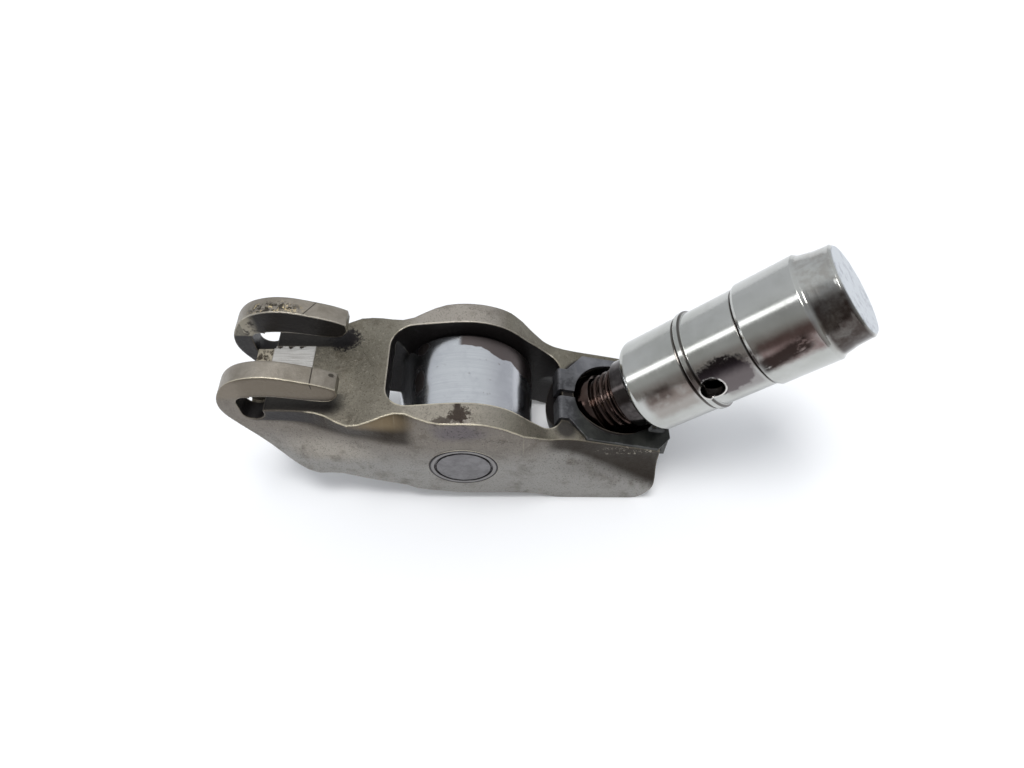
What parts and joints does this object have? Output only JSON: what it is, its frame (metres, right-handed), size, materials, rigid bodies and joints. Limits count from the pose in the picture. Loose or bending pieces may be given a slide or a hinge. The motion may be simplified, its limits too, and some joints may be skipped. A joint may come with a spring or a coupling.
{
  "type": "roller rocker arm with lash adjuster",
  "caption": "Pressed-steel roller finger follower lying on its cam side, with guide ears for the valve stem and a hydraulic lash adjuster clipped to its ball socket.",
  "frame": {"origin": "centre of the cam roller on its axle axis, at mid width", "axes": "+X from the valve pad towards the adjuster, +Y along the roller axle, +Z from the cam side of the roller towards the web"},
  "size_m": [0.0673, 0.0164, 0.0323],
  "materials": {
    "tempered_arm": "satin, oily olive-grey",
    "polished_steel": "polished",
    "roller_steel": "fine ground",
    "axle_steel": "ground and staked",
    "clip_black": "blue-black spring steel",
    "dark_plunger": "oily dark steel",
    "inner_steel": "plain"
  },
  "bodies": {
    "arm": {"arm_body": "tempered_arm", "roller_axle": "axle_steel", "retaining_clip": "clip_black"},
    "roller": {"cam_roller": "roller_steel"},
    "needles": {"needle_rollers": "inner_steel"},
    "plunger": {"plunger_head": "dark_plunger"},
    "valve": {"lower_plunger": "dark_plunger", "ball_cage": "inner_steel", "check_spring": "inner_steel"},
    "check": {"check_ball": "inner_steel"},
    "housing": {"adjuster_housing": "polished_steel", "return_spring": "inner_steel"}
  },
  "joints": [
    {"name": "roller_spin", "type": "hinge", "parent": "arm", "child": "roller", "pos_m": [0, 0, 0], "axis": [0, 1, 0], "continuous": true},
    {"name": "needle_orbit", "type": "hinge", "parent": "arm", "child": "needles", "pos_m": [0, 0, 0], "axis": [0, 1, 0], "continuous": true},
    {"name": "adjuster_tilt", "type": "hinge", "parent": "arm", "child": "plunger", "pos_m": [0.01584, 0, -0.00039], "axis": [0, -1, 0], "range_deg": [0, 30]},
    {"name": "adjuster_spin", "type": "hinge", "parent": "plunger", "child": "valve", "pos_m": [0.01584, 0, -0.00039], "axis": [0.7242, 0, 0.6896], "continuous": true},
    {"name": "check_lift", "type": "slide", "parent": "valve", "child": "check", "axis": [0.7242, 0, 0.6896], "range_m": [0, 0.0004], "stiffness_N_per_m": 60, "springref_m": -0.001, "deforming": ["check_spring"]},
    {"name": "plunger_stroke", "type": "slide", "parent": "valve", "child": "housing", "axis": [-0.7242, 0, -0.6896], "range_m": [0, 0.0015], "stiffness_N_per_m": 1200, "springref_m": -0.005, "deforming": ["return_spring"]}
  ],
  "couplings": [
    {"joint": "needle_orbit", "follows": "roller_spin", "ratio": 0.59876}
  ]
}
